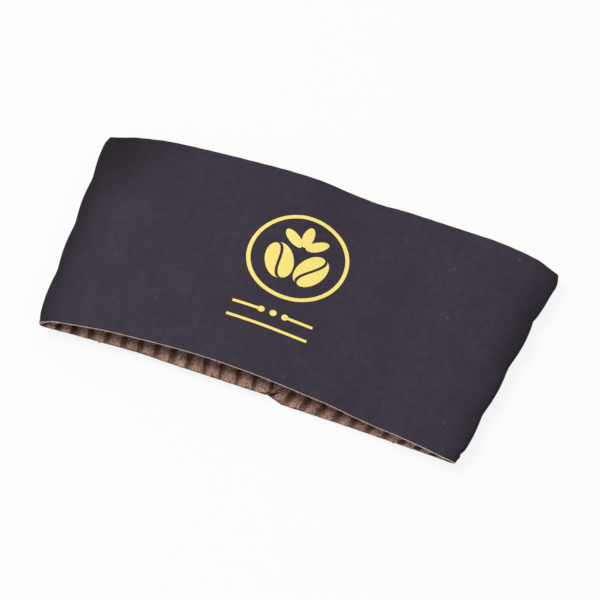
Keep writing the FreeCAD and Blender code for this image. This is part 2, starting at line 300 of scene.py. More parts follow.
def through(stations, place):
    """Height at a place on the smooth curve through stations."""
    slope = slopes(stations)
    i = max(0, min(len(stations) - 2, sum(1 for x, z in stations[1:] if x < place)))
    run = stations[i + 1][0] - stations[i][0]
    q = (place - stations[i][0]) / run
    return ((1 + 2 * q) * (1 - q) ** 2 * stations[i][1] + q * (1 - q) ** 2 * run * slope[i]
            + q * q * (3 - 2 * q) * stations[i + 1][1] + q * q * (q - 1) * run * slope[i + 1])


def half_width(v):
    """Half the flat panel between the fold centres, at v from the narrow edge to the wide one."""
    return (NARROW_EDGE + (WIDE_EDGE - NARROW_EDGE) * v) / 2 - FOLD_RADIUS


def board_at(x, v):
    """Board thickness, less where a fold crushes the flutes."""
    uncrushed = smooth((half_width(v) - abs(x)) / CRUSH_WIDTH)
    return FOLDED_BOARD + (BOARD - FOLDED_BOARD) * uncrushed


def curl(x, v):
    """0 where the back lies flat, 1 at the folds."""
    share = max(0.0, (abs(x) - REST_HALF_WIDTH) / (half_width(v) - REST_HALF_WIDTH))
    return share ** (LEFT_RISE_POWER if x < 0 else RIGHT_RISE_POWER)


def back_level(x, v):
    """Height of the back's underside over the table, without the lap."""
    near, far = LEFT_FOLD_HEIGHT if x < 0 else RIGHT_FOLD_HEIGHT
    return (near + (far - near) * v - FOLD_RADIUS) * curl(x, v)


def back_height(x, v, side):
    """Height of the fold-centre surface at the back. The left quarter rides on the right one."""
    lift = 0.0
    if side < 0:
        lift = SEAM_LIFT * (1 - curl(x, v)) if x < 0 else SEAM_LIFT
    return back_level(x, v) + lift + board_at(x, v) + FOLD_GAP


def front_height(x, v):
    """Height of the fold-centre surface at the front, bowed up over the opening."""
    place = x / half_width(v)
    lifted = 1 - smooth((x / REST_HALF_WIDTH + 1) / 2)
    base = back_level(x, v) + SEAM_LIFT * lifted * (1 - curl(x, v))
    opening = through(NEAR_OPENING, place) * (1 - v) + through(FAR_OPENING, place) * v
    return base + board_at(x, v) + FOLD_GAP + opening


@lru_cache(maxsize=None)
def fold_angles(side, v):
    """Tilt of the front and of the back panel where they run into a fold."""
    edge = side * half_width(v)
    inside = edge - side * SLOPE_STEP
    front = math.atan((front_height(inside, v) - front_height(edge, v)) / SLOPE_STEP)
    back = math.atan((back_height(edge, v, side) - back_height(inside, v, side)) / SLOPE_STEP)
    return front, back


def bend_length(side, v):
    """Length of board that goes round a fold."""
    front_tilt, back_tilt = fold_angles(side, v)
    return FOLD_RADIUS * (math.pi - front_tilt - back_tilt)


def section(girth, v):
    """Centre point and outward direction in the section at v, at a girth from the front's middle."""
    side = 1 if girth > 0 else -1
    past = abs(girth) - half_width(v)
    bend = bend_length(side, v)
    step = SLOPE_STEP
    if past <= 0:
        x = girth
        z = front_height(x, v)
        turn = math.atan((front_height(x - step, v) - front_height(x + step, v)) / (2 * step))
    elif past < bend:
        x = side * half_width(v)
        z = front_height(x, v)
        turn = side * (fold_angles(side, v)[0] + past / FOLD_RADIUS)
    else:
        x = side * (half_width(v) - past + bend)
        z = back_height(x, v, side)
        slope = (back_height(x + step, v, side) - back_height(x - step, v, side)) / (2 * step)
        turn = math.pi + math.atan(slope)
    return x, z, turn


def fold_wave(x, v):
    """Ripple of the nearer fold, outwards, with round crests and sharper dents."""
    swell, depth, crest, spacing = LEFT_WAVE if x < 0 else RIGHT_WAVE
    near = math.exp(-((half_width(v) - abs(x)) / WAVE_REACH) ** 2)
    arch = math.sqrt(math.cos(math.pi * (v - crest) / spacing) ** 2 + DENT_SOFTNESS)
    ripple = swell - depth * (1 - arch)
    for place, dent, reach in (LEFT_NICKS if x < 0 else RIGHT_NICKS):
        ripple -= dent * math.exp(-((v - place) / reach) ** 2)
    return near * ripple


def panel_swell(x, v):
    """Slow unevenness of the front, fading out at the folds and at the cut edges."""
    height, ease = PANEL_SWELL
    fade = smooth((half_width(v) - abs(x)) / ease) * math.sin(math.pi * v)
    return height * fade * uneven(x, v, SWELL_WAVES)


def near_skew(girth, share, facing):
    """How much further than its arc the near edge reaches, on the front and on the back."""
    front, back, run = LEFT_SKEW if girth < 0 else RIGHT_SKEW
    upper = (1 + facing) / 2
    return smooth(abs(share) / run) * front * upper + back * (1 - upper)


def placed(girth, v, depth, along=0.0):
    """Point of the folded sleeve in metres, at a depth below the liner's outer face."""
    x, z, turn = section(girth, v)
    share = x / half_width(v)
    facing = math.cos(turn)
    offset = board_at(x, v) + FOLD_GAP - depth
    radius = NARROW_RADIUS + HEIGHT * v + along
    if facing < 0:
        radius -= SEAM_SLIP * (1 - smooth(abs(x) / SLIP_REACH)) * (1 - v)
        tuck, place, reach = BACK_TUCK
        radius += tuck * math.exp(-((share - place) / reach) ** 4) * (1 - v) ** 2
    radius -= near_skew(girth, share, facing) * (1 - v) ** 2
    side = 1 if x > 0 else -1
    ripple = fold_wave(x, v)
    angle = (x + offset * math.sin(turn) + side * ripple) / radius
    z += offset * facing + WAVE_LIFT * ripple
    if facing > 0:
        z += panel_swell(x, v)
    return Vector((radius * math.sin(angle), radius * math.cos(angle) - PLAN_CENTRE, max(z, 0.0))) * MM


# Outline of the flat blank

def girth_at(across, v):
    """Distance round the blank, at v, of a line that runs across the blank's middle."""
    radius = NARROW_RADIUS + HEIGHT * v
    return radius * math.asin(across / radius)


def across_at(girth, v):
    """The opposite of girth_at."""
    radius = NARROW_RADIUS + HEIGHT * v
    return radius * math.sin(girth / radius)


def end_girth(side, v):
    """Girth of the blank's cut end, with its two cut corners."""
    to_end = SEAM_OFFSET if side < 0 else FLAP_OVERLAP - SEAM_OFFSET
    cut_width, cut_length = INNER_CUT if side < 0 else OUTER_CUT
    cut = cut_width * max(0.0, 1 - min(v, 1 - v) * HEIGHT / cut_length)
    return 2 * half_width(v) + bend_length(side, v) + to_end - cut


def inside_blank(across, v):
    """How far inside the blank's cut end a point lies, below zero outside it."""
    girth = girth_at(across, v)
    return end_girth(1 if girth > 0 else -1, v) - abs(girth)


def cut_edge(girth, v, amount):
    """How far the knife strayed along the height, in millimetres, at the two cut edges."""
    if 0 < v < 1:
        return 0.0
    quick = QUICK_CUT_SHARE * uneven(girth, v, QUICK_CUT_WAVES)
    return amount * (uneven(girth, v, SLOW_CUT_WAVES) + quick)


class Surface:
    """Points and faces of one mesh, with blank coordinates for the paper's grain."""

    def __init__(self):
        self.points = []
        self.grain = []
        self.faces = []
        self.finishes = []

    def point(self, place, across, v):
        self.points.append(place)
        self.grain.append((across * MM, v * HEIGHT * MM))
        return len(self.points) - 1

    def grid(self, lines, finish, flip=False):
        """Quads between neighbouring lines of points."""
        for a, b in zip(lines, lines[1:]):
            for i in range(len(a) - 1):
                corners = (a[i], b[i], b[i + 1], a[i + 1])
                self.faces.append(corners[::-1] if flip else corners)
                self.finishes.append(finish)

    def wall(self, first, second, finish, flip=False):
        """Sharp-edged quads between two lines, on points of their own."""
        lines = []
        for line in (first, second):
            lines.append(list(range(len(self.points), len(self.points) + len(line))))
            self.points += [self.points[i] for i in line]
            self.grain += [self.grain[i] for i in line]
        self.grid(lines, finish, flip)

    def build(self, name, materials, body="root"):
        mesh = bpy.data.meshes.new(name)
        mesh.from_pydata(self.points, [], self.faces)
        for material in materials:
            mesh.materials.append(material)
        mesh.polygons.foreach_set("material_index", self.finishes)
        mesh.polygons.foreach_set("use_smooth", [True] * len(self.faces))
        layer = mesh.uv_layers.new(name="grain")
        for loop in mesh.loops:
            layer.data[loop.index].uv = self.grain[loop.vertex_index]
        mesh.update()
        piece = bpy.data.objects.new(name, mesh)
        bpy.context.scene.collection.objects.link(piece)
        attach(piece, body)
        return piece


# Liner

def liner_columns(v):
    """Girths of the liner's columns at v, from the left cut end to the right one."""
    half = half_width(v)
    left = -half - bend_length(-1, v)
    right = half + bend_length(1, v)
    runs = ((-end_girth(-1, v), left, BACK_COLUMNS), (left, -half, BEND_COLUMNS),
            (-half, half, FRONT_COLUMNS), (half, right, BEND_COLUMNS),
            (right, end_girth(1, v), BACK_COLUMNS))
    columns = [runs[0][0]]
    for start, end, count in runs:
        columns += [start + (end - start) * share for share in shares(count)[1:]]
    return columns


def flute_phase(across):
    """Place in a flute, from 0 at one glue line to 1 at the next."""
    return (across - FLUTE_SHIFT) / FLUTE_PITCH % 1


def washboard(girth, v):
    """The flutes telegraph faintly through the liner, a little more beside the cut edges."""
    more, reach = WASHBOARD_EDGE
    depth = WASHBOARD + more * math.exp(-min(v, 1 - v) * HEIGHT / reach)
    wander = WASHBOARD_WANDER * uneven(girth, v, WASHBOARD_WAVES)
    phase = flute_phase(across_at(girth, v)) + wander
    return depth * (0.5 + 0.5 * math.cos(2 * math.pi * phase))


def tip_swell(girth, v):
    """Extra thickness of the liner's worn near edge, towards the right fold and round it."""
    swell, start, run = TIP_SWELL
    past = girth / half_width(v)
    if v > 0 or past > TIP_END:
        return 0.0
    return swell * smooth((past - start) / run)


def make_liner(materials):
    """Smooth outer paper, printed outside and raw inside."""
    surface = Surface()
    corners = [cut[1] / HEIGHT for cut in (INNER_CUT, OUTER_CUT)]
    levels = sorted(shares(LINER_ROWS) + corners + [1 - corner for corner in corners])
    outer = []
    inner = []
    for v in levels:
        outer_row = []
        inner_row = []
        for girth in liner_columns(v):
            along = cut_edge(girth, v, LINER_CUT_ROUGHNESS)
            across = across_at(girth, v)
            dent = washboard(girth, v)
            thickness = LINER + tip_swell(girth, v)
            outer_row.append(surface.point(placed(girth, v, dent, along), across, v))
            inner_row.append(surface.point(placed(girth, v, thickness, along), across, v))
        outer.append(outer_row)
        inner.append(inner_row)
    surface.grid(outer, PRINTED, flip=True)
    surface.grid(inner, LINER_BACK)
    front = BACK_COLUMNS + BEND_COLUMNS // 2
    stop = front + FRONT_COLUMNS + BEND_COLUMNS + PALE_TIP_COLUMNS
    last = len(outer[0]) - 1
    for start, end, finish in ((0, front, BROWN_CUT), (front, stop, PALE_CUT), (stop, last, BROWN_CUT)):
        surface.wall(outer[0][start:end + 1], inner[0][start:end + 1], finish)
        surface.wall(inner[-1][start:end + 1], outer[-1][start:end + 1], finish)
    surface.wall([row[0] for row in inner], [row[0] for row in outer], BROWN_CUT)
    surface.wall([row[-1] for row in outer], [row[-1] for row in inner], BROWN_CUT)
    return surface.build("outer_liner_paper", materials)


# Fluted medium

def line_span(across):
    """First and last v of a line along a flute, or None where it misses the blank."""
    hits = [i for i in range(SEARCH_STEPS + 1) if inside_blank(across, i / SEARCH_STEPS) > 0]
    if not hits:
        return None
    return crossing(across, hits[0], -1), crossing(across, hits[-1], 1)


def crossing(across, hit, way):
    """Where a line along a flute meets the cut end, just past its last point inside."""
    if hit in (0, SEARCH_STEPS) and (hit == 0) == (way < 0):
        return hit / SEARCH_STEPS
    inner = hit / SEARCH_STEPS
    outer = (hit + way) / SEARCH_STEPS
    for _ in range(CUT_HALVINGS):
        middle = (inner + outer) / 2
        if inside_blank(across, middle) > 0:
            inner = middle
        else:
            outer = middle
    return inner


def blank_reach(side):
    """How far out to a side the blank still holds a line along the flutes."""
    inner = side * NARROW_EDGE
    outer = side * (2 * WIDE_EDGE + FLAP_OVERLAP)
    for _ in range(REACH_HALVINGS):
        middle = (inner + outer) / 2
        if line_span(middle):
            inner = middle
        else:
            outer = middle
    return inner


def flute_wave(across):
    """Height share of the medium: 0 on the glue line, 1 at the crest inside the sleeve."""
    share = min(max((flute_phase(across) - GLUED_SHARE) / (1 - 2 * GLUED_SHARE), 0.0), 1.0)
    return max(math.sin(math.pi * share), 0.0) ** FLUTE_FULLNESS


def flute_lines():
    """Lines along the flutes, from one end of the blank to the other."""
    left = blank_reach(-1)
    right = blank_reach(1)
    phases = [GLUED_SHARE + (1 - 2 * GLUED_SHARE) * i / (FLUTE_STEPS - 1) for i in range(FLUTE_STEPS)]
    first = math.floor((left - FLUTE_SHIFT) / FLUTE_PITCH)
    last = math.ceil((right - FLUTE_SHIFT) / FLUTE_PITCH)
    inside = [(flute + phase) * FLUTE_PITCH + FLUTE_SHIFT
              for flute in range(first, last) for phase in phases]
    return [left] + [across for across in inside if left < across < right] + [right]


def medium_depth(across, x, v):
    """Depth of the medium's upper face, uneven from flute to flute and along each flute."""
    flute = math.floor((across - FLUTE_SHIFT) / FLUTE_PITCH)
    wave = flute_wave(across)
    start = LINER + GLUE_FILM
    room = board_at(x, v) - start - MEDIUM
    share, lean = CREST_SAG
    slow = share * (uneven(flute, v, CREST_WAVES) - lean)
    dimple = DIMPLE_SHARE * uneven(across, v, DIMPLE_WAVES)
    sag = FLUTE_HEIGHT_SPREAD * (slow + dimple) * wave
    if abs(across) > half_width(v) + FOLD_RADIUS:
        lost, reach = CREST_CRUSH
        room *= 1 - lost * math.exp(-(min(v, 1 - v) * HEIGHT / reach) ** 2)
    return start + room * wave * (1 + min(sag, 0.0) * SAG_GAIN)


def medium_recess(girth, v):
    """How far the fluted paper's cut edge was crushed back from the liner's, or stands out of it."""
    if 0 < v < 1:
        return 0.0
    at_front, at_back = MEDIUM_RECESS
    share = girth / half_width(v)
    if abs(share) <= 1:
        start, end = FLAT_EDGE
        left_ease, right_ease = FLAT_EDGE_EASE
        inside = smooth((share - start) / left_ease) * smooth((end - share) / right_ease)
        recess = at_front * inside + tip_swell(girth, v) / 2
    else:
        crest = flute_wave(across_at(girth, v)) ** 2
        hairs = uneven(girth, v, HAIR_WAVES) + FINE_HAIR_SHARE * uneven(girth, v, FINE_HAIR_WAVES)
        from_fold = abs(girth) - half_width(v) - bend_length(1, v)
        fray = MEDIUM_FRAY[1 if v else 0] * smooth(from_fold / FRAY_START)
        recess = at_back - fray * crest * (FRAY_EVEN + hairs)
    return recess if v == 0 else -recess


@lru_cache(maxsize=None)
def flute_rows():
    """Places along a flute, closer together towards its two cut ends."""
    inner = [FIRST_ROW + (1 - 2 * FIRST_ROW) * share for share in shares(FLUTE_ROWS)]
    return list(CUT_ROWS) + inner + [1 - row for row in reversed(CUT_ROWS)]


def make_medium(materials):
    """Fluted raw paper inside the liner, its flutes parallel across the whole blank."""
    surface = Surface()
    tops = []
    bottoms = []
    for across in flute_lines():
        low, high = line_span(across)
        flute = math.floor((across - FLUTE_SHIFT) / FLUTE_PITCH)
        top = []
        bottom = []
        for share in flute_rows():
            v = low + (high - low) * share
            wander = FLUTE_WANDER * flute_wave(across) * uneven(flute, v, WANDER_WAVES)
            girth = girth_at(across, v) + wander
            depth = medium_depth(across, section(girth, v)[0], v)
            along = cut_edge(girth, v, MEDIUM_CUT_ROUGHNESS) + medium_recess(girth, v)
            top.append(surface.point(placed(girth, v, depth, along), across, v))
            bottom.append(surface.point(placed(girth, v, depth + MEDIUM, along), across, v))
        tops.append(top)
        bottoms.append(bottom)
    surface.grid(tops, FLUTES)
    surface.grid(bottoms, FLUTES, flip=True)
    surface.wall([line[0] for line in tops], [line[0] for line in bottoms], FLUTE_CUT)
    surface.wall([line[-1] for line in bottoms], [line[-1] for line in tops], FLUTE_CUT)
    surface.wall(bottoms[0], tops[0], FLUTE_CUT)
    surface.wall(tops[-1], bottoms[-1], FLUTE_CUT)
    return surface.build("fluted_medium_paper", materials)


# Gold print

def turned(points, degrees, centre):
    """Points turned about the origin and moved to a centre."""
    angle = math.radians(degrees)
    return [(centre[0] + x * math.cos(angle) - y * math.sin(angle),
             centre[1] + x * math.sin(angle) + y * math.cos(angle)) for x, y in points]


def circle(radius):
    return [(radius * math.cos(2 * math.pi * share), radius * math.sin(2 * math.pi * share))
            for share in shares(RING_STEPS)]


def lens_edge(length, width, side):
    """Edge of a pointed oval that starts at the origin and runs along X."""
    return [(length * (1 - math.cos(math.pi * share)) / 2,
             side * width / 2 * math.sin(math.pi * share)) for share in shares(SHAPE_STEPS)]


def lens(length, width, lean, root):
    """Both edges of a pointed oval that leans from its root."""
    return [turned(lens_edge(length, width, side), lean, root) for side in (-1, 1)]


def bean_half(side):
    """Outer edge and wavy inner edge of one half of a bean."""
    half_split = side * BEAN_SPLIT / 2
    edge = lens_edge(BEAN_LENGTH, BEAN_WIDTH - BEAN_SPLIT, side)
    outer = [(x, y + half_split) for x, y in edge]
    inner = [(x, half_split + BEAN_WAVE * math.sin(2 * math.pi * share))
             for (x, y), share in zip(outer, shares(SHAPE_STEPS))]
    return outer, inner


def rule(length, centre):
    """Both edges of a straight rule."""
    return [[(centre[0] + length * (share - 0.5), centre[1] + side * RULE_WIDTH / 2)
             for share in shares(SHAPE_STEPS)] for side in (-1, 1)]


def emblem_fields():
    """Pairs of edges, each pair bounding one field of gold."""
    middle, height = RING_CENTRE
    rims = (RING_RADIUS, RING_RADIUS - RING_WIDTH)
    fields = [[turned(circle(radius), 0, RING_CENTRE) for radius in rims]]
    for side in (-1, 1):
        centre = (middle + side * BEAN_SPACING / 2, height - BEAN_DROP)
        lean = 90 - side * BEAN_LEAN
        root = turned([(-BEAN_LENGTH / 2, 0)], lean, centre)[0]
        for half in (-1, 1):
            fields.append([turned(edge, lean, root) for edge in bean_half(half)])
    for step in (-1, 0, 1):
        lean = 90 + step * LEAF_SPREAD
        root = turned([(LEAF_GAP, 0)], lean, (middle, height + LEAF_RISE))[0]
        fields.append(lens(LEAF_LENGTH, LEAF_WIDTH, lean, root))
    fields.append(rule(LONG_RULE, (middle, height - LONG_RULE_DROP)))
    for side in (-1, 1):
        centre = (middle + side * (LONG_RULE - SHORT_RULE) / 2, height - SHORT_RULE_DROP)
        fields.append(rule(SHORT_RULE, centre))
    for step in (-1, 0, 1):
        centre = (middle + step * DOT_SPACING - DOT_RADIUS, height - SHORT_RULE_DROP)
        fields.append(lens(2 * DOT_RADIUS, 2 * DOT_RADIUS, 0, centre))
    return fields


def make_print(materials):
    """Film of gold that follows the printed face."""
    surface = Surface()
    for first, second in emblem_fields():
        top = []
        low = []
        for share in shares(FIELD_STEPS):
            top_line = []
            low_line = []
            for (x0, y0), (x1, y1) in zip(first, second):
                x = x0 + (x1 - x0) * share
                v = 0.5 + (y0 + (y1 - y0) * share) / HEIGHT
                base = washboard(x, v)
                top_line.append(surface.point(placed(x, v, base - LIFT - FILM), x, v))
                low_line.append(surface.point(placed(x, v, base - LIFT), x, v))
            top.append(top_line)
            low.append(low_line)
        # the two edges run either way round, so the upper side is set by the first face
        half_way = len(first) // 2
        a, b, c = (surface.points[i] for i in (top[0][0], top[0][half_way], top[-1][half_way]))
        up = (b - a).cross(c - a).z > 0
        surface.grid(top, GOLD_FILM, flip=up)
        surface.grid(low, GOLD_FILM, flip=not up)
        surface.wall(top[0], low[0], GOLD_FILM, flip=not up)
        surface.wall(low[-1], top[-1], GOLD_FILM, flip=not up)
        blunt = math.dist(first[0], second[0]) > RULE_WIDTH / 2
        if blunt and math.dist(first[0], first[-1]) > RING_WIDTH:
            for end in (0, -1):
                surface.wall([line[end] for line in top], [line[end] for line in low], GOLD_FILM,
                             flip=up == (end == 0))
    return surface.build("gold_print_film", materials)


# Shader pieces

def node_group(name, inputs, outputs):
    """Empty shader group that takes the place on the blank, and its two end nodes."""
    group = bpy.data.node_groups.new(name, "ShaderNodeTree")
    group.interface.new_socket("Place", in_out="INPUT", socket_type="NodeSocketVector")
    for label, value in inputs:
        socket = group.interface.new_socket(label, in_out="INPUT", socket_type="NodeSocketFloat")
        socket.default_value = value
    for label in outputs:
        group.interface.new_socket(label, in_out="OUTPUT", socket_type="NodeSocketFloat")
    start = group.nodes.new("NodeGroupInput")
    end = group.nodes.new("NodeGroupOutput")
    return group, start, end


def put_out(group, end, results):
    """Join a group's results to its outputs."""
    for label, value in results:
        group.links.new(value, end.inputs[label])
    return group


def math_node(tree, operation, a, b=None, clamp=False):
    node = tree.nodes.new("ShaderNodeMath")
    node.operation = operation
    node.use_clamp = clamp
    for socket, value in zip(node.inputs, (a, b)):
        if value is None:
            continue
        if isinstance(value, (int, float)):
            socket.default_value = value
        else:
            tree.links.new(value, socket)
    return node.outputs[0]


def mix_colour(tree, factor, a, b):
    node = tree.nodes.new("ShaderNodeMix")
    node.data_type = "RGBA"
    sockets = {s.identifier: s for s in node.inputs}
    for key, value in (("Factor_Float", factor), ("A_Color", a), ("B_Color", b)):
        if isinstance(value, (int, float, tuple)):
            sockets[key].default_value = value
        else:
            tree.links.new(value, sockets[key])
    return next(s for s in node.outputs if s.identifier == "Result_Color")


def tinted(tree, base, mask, strength, colour):
    """Base, turned towards a colour where the mask is high."""
    return mix_colour(tree, math_node(tree, "MULTIPLY", mask, strength), base, colour)


def grain_noise(tree, place, grain):
    """Noise of one grain over the blank."""
    waves, detail, roughness = grain
    mapping = tree.nodes.new("ShaderNodeMapping")
    tree.links.new(place, mapping.inputs["Vector"])
    mapping.inputs["Scale"].default_value = waves
    node = tree.nodes.new("ShaderNodeTexNoise")
    tree.links.new(mapping.outputs["Vector"], node.inputs["Vector"])
    node.inputs["Scale"].default_value = 1.0
    node.inputs["Detail"].default_value = detail
    node.inputs["Roughness"].default_value = roughness
    return node.outputs["Fac"]


def ramp(tree, value, low, high, kind="LINEAR"):
    """Value mapped from low..high to 0..1."""
    node = tree.nodes.new("ShaderNodeMapRange")
    node.interpolation_type = kind
    tree.links.new(value, node.inputs["Value"])
    node.inputs["From Min"].default_value = low
    node.inputs["From Max"].default_value = high
    return node.outputs["Result"]


def soft_rise(tree, value, limits, unit=1):
    """0 below the limits, 1 above them, and smooth between."""
    return ramp(tree, value, limits[0] * unit, limits[1] * unit, "SMOOTHSTEP")


def soft_fall(tree, value, limits, unit=1):
    """1 below the limits, 0 above them, and smooth between."""
    return math_node(tree, "SUBTRACT", 1.0, soft_rise(tree, value, limits, unit))


def split_place(group, start):
    """Distances across the blank and up from its narrow edge."""
    split = group.nodes.new("ShaderNodeSeparateXYZ")
    group.links.new(start.outputs["Place"], split.inputs["Vector"])
    return split.outputs["X"], split.outputs["Y"]


# Shared effects

def fibre_group():
    """Paper fibres: short streaks in two directions, blotches and slow clouding."""
    group, start, end = node_group("paper_fibres", (),
                                   ("Streaks", "Blotches", "Mottle", "Clouds", "Height"))
    place = start.outputs["Place"]
    streaks = math_node(group, "MAXIMUM", grain_noise(group, place, STREAK_GRAIN),
                        grain_noise(group, place, CROSS_GRAIN))
    blotches = grain_noise(group, place, BLOTCH_GRAIN)
    height = math_node(group, "ADD", math_node(group, "MULTIPLY", streaks, RELIEF[0]),
                       math_node(group, "MULTIPLY", blotches, RELIEF[1]))
    return put_out(group, end, (("Streaks", streaks), ("Blotches", blotches),
                                ("Mottle", grain_noise(group, place, MOTTLE_GRAIN)),
                                ("Clouds", grain_noise(group, place, CLOUD_GRAIN)),
                                ("Height", height)))


def speck_group():
    """Sparse small specks of uneven strength, such as dust and dark bits."""
    group, start, end = node_group("specks", (("Spacing", 200.0), ("Size", 0.08)), ("Specks",))
    cells = group.nodes.new("ShaderNodeTexVoronoi")
    cells.feature = "F1"
    group.links.new(start.outputs["Place"], cells.inputs["Vector"])
    group.links.new(start.outputs["Spacing"], cells.inputs["Scale"])
    near = math_node(group, "LESS_THAN", cells.outputs["Distance"], start.outputs["Size"])
    split = group.nodes.new("ShaderNodeSeparateColor")
    group.links.new(cells.outputs["Color"], split.inputs["Color"])
    rare = math_node(group, "GREATER_THAN", split.outputs["Red"], SPECK_FREE)
    strength = math_node(group, "MULTIPLY", math_node(group, "MULTIPLY", near, rare),
                         split.outputs["Green"])
    return put_out(group, end, (("Specks", strength),))


def groove_shade_group():
    """Painted shade of the flutes: 1 in the groove where the medium is glued to the liner, 0 on the
    crests.
    """
    group, start, end = node_group("painted_groove_shade", (("Wander", GROOVE_WANDER),), ("GrooveShade",))
    across, up = split_place(group, start)
    count = math_node(group, "DIVIDE", math_node(group, "SUBTRACT", across, FLUTE_SHIFT * MM),
                      FLUTE_PITCH * MM)
    stray = grain_noise(group, start.outputs["Place"], GROOVE_GRAIN)
    offset = math_node(group, "MULTIPLY", math_node(group, "SUBTRACT", stray, 0.5),
                       start.outputs["Wander"])
    share = math_node(group, "FRACT", math_node(group, "ADD", count, offset))
    pressed = math_node(group, "MULTIPLY", soft_fall(group, across, PRESSED, MM), PRESSED_LOSS)
    soft_side = math_node(group, "MULTIPLY", soft_rise(group, share, GROOVE_SOFT),
                          math_node(group, "SUBTRACT", 1.0, pressed))
    groove = math_node(group, "MAXIMUM", soft_fall(group, share, GROOVE_SHARP), soft_side)
    deeper = math_node(group, "MULTIPLY", soft_rise(group, up, DEEPER_RISE, MM), DEEPER_SHARE)
    groove = math_node(group, "MULTIPLY", groove,
                       math_node(group, "ADD", deeper, 1 - DEEPER_SHARE))
    beside = math_node(group, "ABSOLUTE", math_node(group, "SUBTRACT", share, LINE_PLACE))
    line = math_node(group, "MULTIPLY", soft_fall(group, beside, LINE_SPREAD), LINE_STRENGTH)
    return put_out(group, end, (("GrooveShade", math_node(group, "ADD", groove, line, clamp=True)),))


def shade_and_wear_group():
    """Painted shade at both folds and beside their edges, darkening towards the far left corner,
    painted deeper shade in the grooves squeezed beside the folds, and where the ink is rubbed off folds
    and rims."""
    group, start, end = node_group("painted_shade_and_wear", (),
                                   ("FoldEdgeShade", "FoldShade", "SqueezedGrooveShade", "Corner", "Rub"))
    across, up = split_place(group, start)
    lean = (WIDE_EDGE - NARROW_EDGE) / 2 / HEIGHT
    fold = math_node(group, "ADD", math_node(group, "MULTIPLY", up, lean), NARROW_EDGE / 2 * MM)
    beside = math_node(group, "SUBTRACT", math_node(group, "ABSOLUTE", across), fold)
    stray = grain_noise(group, start.outputs["Place"], WEAR_GRAIN)
    beside = math_node(group, "ADD", math_node(group, "ABSOLUTE", beside),
                       math_node(group, "MULTIPLY", stray, FOLD_WANDER * MM))
    left = math_node(group, "LESS_THAN", across, 0.0)
    weight = math_node(group, "ADD", math_node(group, "MULTIPLY", left, 1 - RIGHT_FOLD_SHARE),
                       RIGHT_FOLD_SHARE)
    folds = math_node(group, "MULTIPLY", soft_fall(group, beside, FOLD_SHADE, MM), weight)
    distance = group.nodes.new("ShaderNodeVectorMath")
    distance.operation = "DISTANCE"
    group.links.new(start.outputs["Place"], distance.inputs[0])
    distance.inputs[1].default_value = (-WIDE_EDGE / 2 * MM, HEIGHT * MM, 0)
    reach = math_node(group, "ADD", distance.outputs["Value"],
                      math_node(group, "MULTIPLY", stray, CORNER_WANDER * MM))
    far_rim = soft_rise(group, up, (HEIGHT - RIM_RUB[1], HEIGHT - RIM_RUB[0]), MM)
    rims = math_node(group, "MAXIMUM", soft_fall(group, up, RIM_RUB, MM), far_rim)
    rub = math_node(group, "MAXIMUM", soft_fall(group, beside, FOLD_RUB, MM), rims)
    return put_out(group, end, (("FoldEdgeShade", soft_fall(group, beside, FOLD_EDGE_SHADE, MM)),
                                ("FoldShade", folds), ("Rub", rub),
                                ("SqueezedGrooveShade", soft_fall(group, beside, SQUEEZED_SHADE_REACH, MM)),
                                ("Corner", soft_fall(group, reach, CORNER_DARK, MM))))


# Materials

def start_material(name):
    """Material with its tree, its shader and the place on the blank."""
    material = bpy.data.materials.new(name)
    material.use_nodes = True
    shader = material.node_tree.nodes["Principled BSDF"]
    place = material.node_tree.nodes.new("ShaderNodeUVMap")
    place.uv_map = "grain"
    return material, material.node_tree, shader, place.outputs["UV"]


def use_group(tree, group, place):
    node = tree.nodes.new("ShaderNodeGroup")
    node.node_tree = group
    tree.links.new(place, node.inputs["Place"])
    return node


def use_specks(tree, group, place, cells):
    """Specks with a material's own spacing and size."""
    node = use_group(tree, group, place)
    node.inputs["Spacing"].default_value = cells[0]
    node.inputs["Size"].default_value = cells[1]
    return node.outputs["Specks"]


def bump(tree, shader, height, distance):
    node = tree.nodes.new("ShaderNodeBump")
    node.inputs["Distance"].default_value = distance
    node.inputs["Strength"].default_value = 1.0
    tree.links.new(height, node.inputs["Height"])
    tree.links.new(node.outputs["Normal"], shader.inputs["Normal"])


def black_paper(fibres, specks, shade_and_wear):
    """Black ink on smooth liner, faintly mottled, with painted shade at the folds, darker towards the
    far left corner, rubbed on folds and rims where handled, with a little pale dust.
    """
    material, tree, shader, place = start_material("black_printed_paper")
    grain = use_group(tree, fibres, place).outputs
    dust = use_specks(tree, specks, place, DUST_CELLS)
    shade_and_wear_masks = use_group(tree, shade_and_wear, place).outputs
    ink = mix_colour(tree, ramp(tree, grain["Clouds"], *CLOUDING), *INK)
    for label, limits, strength, colour in INK_GRAIN:
        ink = tinted(tree, ink, ramp(tree, grain[label], *limits), strength, colour)
    # painted shade at the folds and beside their edges, and darker towards the far left corner
    for label, strength, colour in INK_FOLD_SHADE_AND_CORNER:
        ink = tinted(tree, ink, shade_and_wear_masks[label], strength, colour)
    chips = math_node(tree, "MULTIPLY", shade_and_wear_masks["Rub"], ramp(tree, grain["Blotches"], *CHIP_RANGE))
    ink = tinted(tree, ink, chips, *CHIP_TINT)
    ink = tinted(tree, ink, dust, *DUST_TINT)
    tree.links.new(ink, shader.inputs["Base Color"])
    least, more = INK_ROUGHNESS
    rough = math_node(tree, "ADD", math_node(tree, "MULTIPLY", grain["Clouds"], more), least)
    tree.links.new(rough, shader.inputs["Roughness"])
    shader.inputs["Specular IOR Level"].default_value = INK_SHINE
    bump(tree, shader, grain["Height"], INK_BUMP)
    return material


